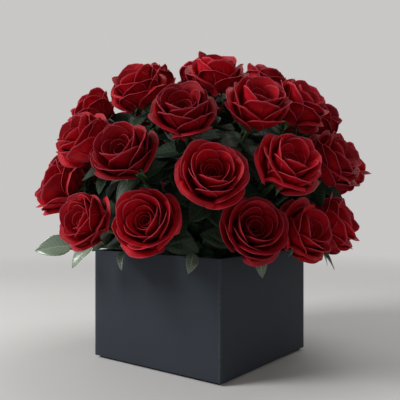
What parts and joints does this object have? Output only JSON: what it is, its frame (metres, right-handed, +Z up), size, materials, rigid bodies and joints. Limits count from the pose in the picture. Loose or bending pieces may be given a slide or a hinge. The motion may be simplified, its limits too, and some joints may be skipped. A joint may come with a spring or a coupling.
{
  "type": "flower box",
  "caption": "Square black paper-covered box with a lift-out liner of floral foam that holds a dome of open dark red roses and a few leaves over the rim.",
  "frame": {"origin": "middle of the flat underside that the box stands on", "axes": "+Z up along the arrangement's lift; -Y is the front face of the box, +X its right"},
  "size_m": [0.4306, 0.4275, 0.3961],
  "materials": {
    "plinth_card": "matte",
    "grey_board": "matte",
    "black_paper": "matte",
    "lining_paper": "matte",
    "liner_plastic": "satin",
    "wet_foam": "matte",
    "stem_green": "satin",
    "leaf_green": "satin",
    "petal_crimson": "matte",
    "petal_deep_red": "matte",
    "petal_dark_red": "matte"
  },
  "bodies": {
    "box": {"plinth_board": "plinth_card", "base_board": "grey_board", "wall_front": "grey_board", "wall_back": "grey_board", "wall_left": "grey_board", "wall_right": "grey_board", "outer_wrap": "black_paper", "inner_lining": "lining_paper"},
    "arrangement": {"liner": "liner_plastic", "foam_bricks": "wet_foam", "foam_block": "wet_foam", "stems": "stem_green", "leaves": "leaf_green", "rose_01": "petal_crimson", "rose_02": "petal_deep_red", "rose_03": "petal_dark_red", "rose_04": "petal_crimson", "rose_05": "petal_deep_red", "rose_06": "petal_dark_red", "rose_07": "petal_crimson", "rose_08": "petal_deep_red", "rose_09": "petal_dark_red", "rose_10": "petal_crimson", "rose_11": "petal_deep_red", "rose_12": "petal_dark_red", "rose_13": "petal_crimson", "rose_14": "petal_deep_red", "rose_15": "petal_dark_red", "rose_16": "petal_crimson", "rose_17": "petal_deep_red", "rose_18": "petal_dark_red", "rose_19": "petal_crimson", "rose_20": "petal_deep_red", "rose_21": "petal_dark_red", "rose_22": "petal_crimson", "rose_23": "petal_deep_red", "rose_24": "petal_dark_red", "rose_25": "petal_crimson", "rose_26": "petal_deep_red", "rose_27": "petal_dark_red", "rose_28": "petal_crimson", "rose_29": "petal_deep_red", "rose_30": "petal_dark_red", "rose_31": "petal_crimson", "rose_32": "petal_deep_red", "rose_33": "petal_dark_red", "rose_34": "petal_crimson", "rose_35": "petal_deep_red", "rose_36": "petal_dark_red", "rose_37": "petal_crimson", "rose_38": "petal_deep_red", "rose_39": "petal_dark_red", "rose_40": "petal_crimson", "rose_41": "petal_deep_red", "rose_42": "petal_dark_red", "rose_43": "petal_crimson", "rose_44": "petal_deep_red", "rose_45": "petal_dark_red", "rose_46": "petal_crimson", "rose_47": "petal_deep_red"}
  },
  "joints": [
    {"name": "arrangement_lift", "type": "slide", "parent": "box", "child": "arrangement", "axis": [0, 0, 1], "range_m": [0, 0.16]}
  ]
}
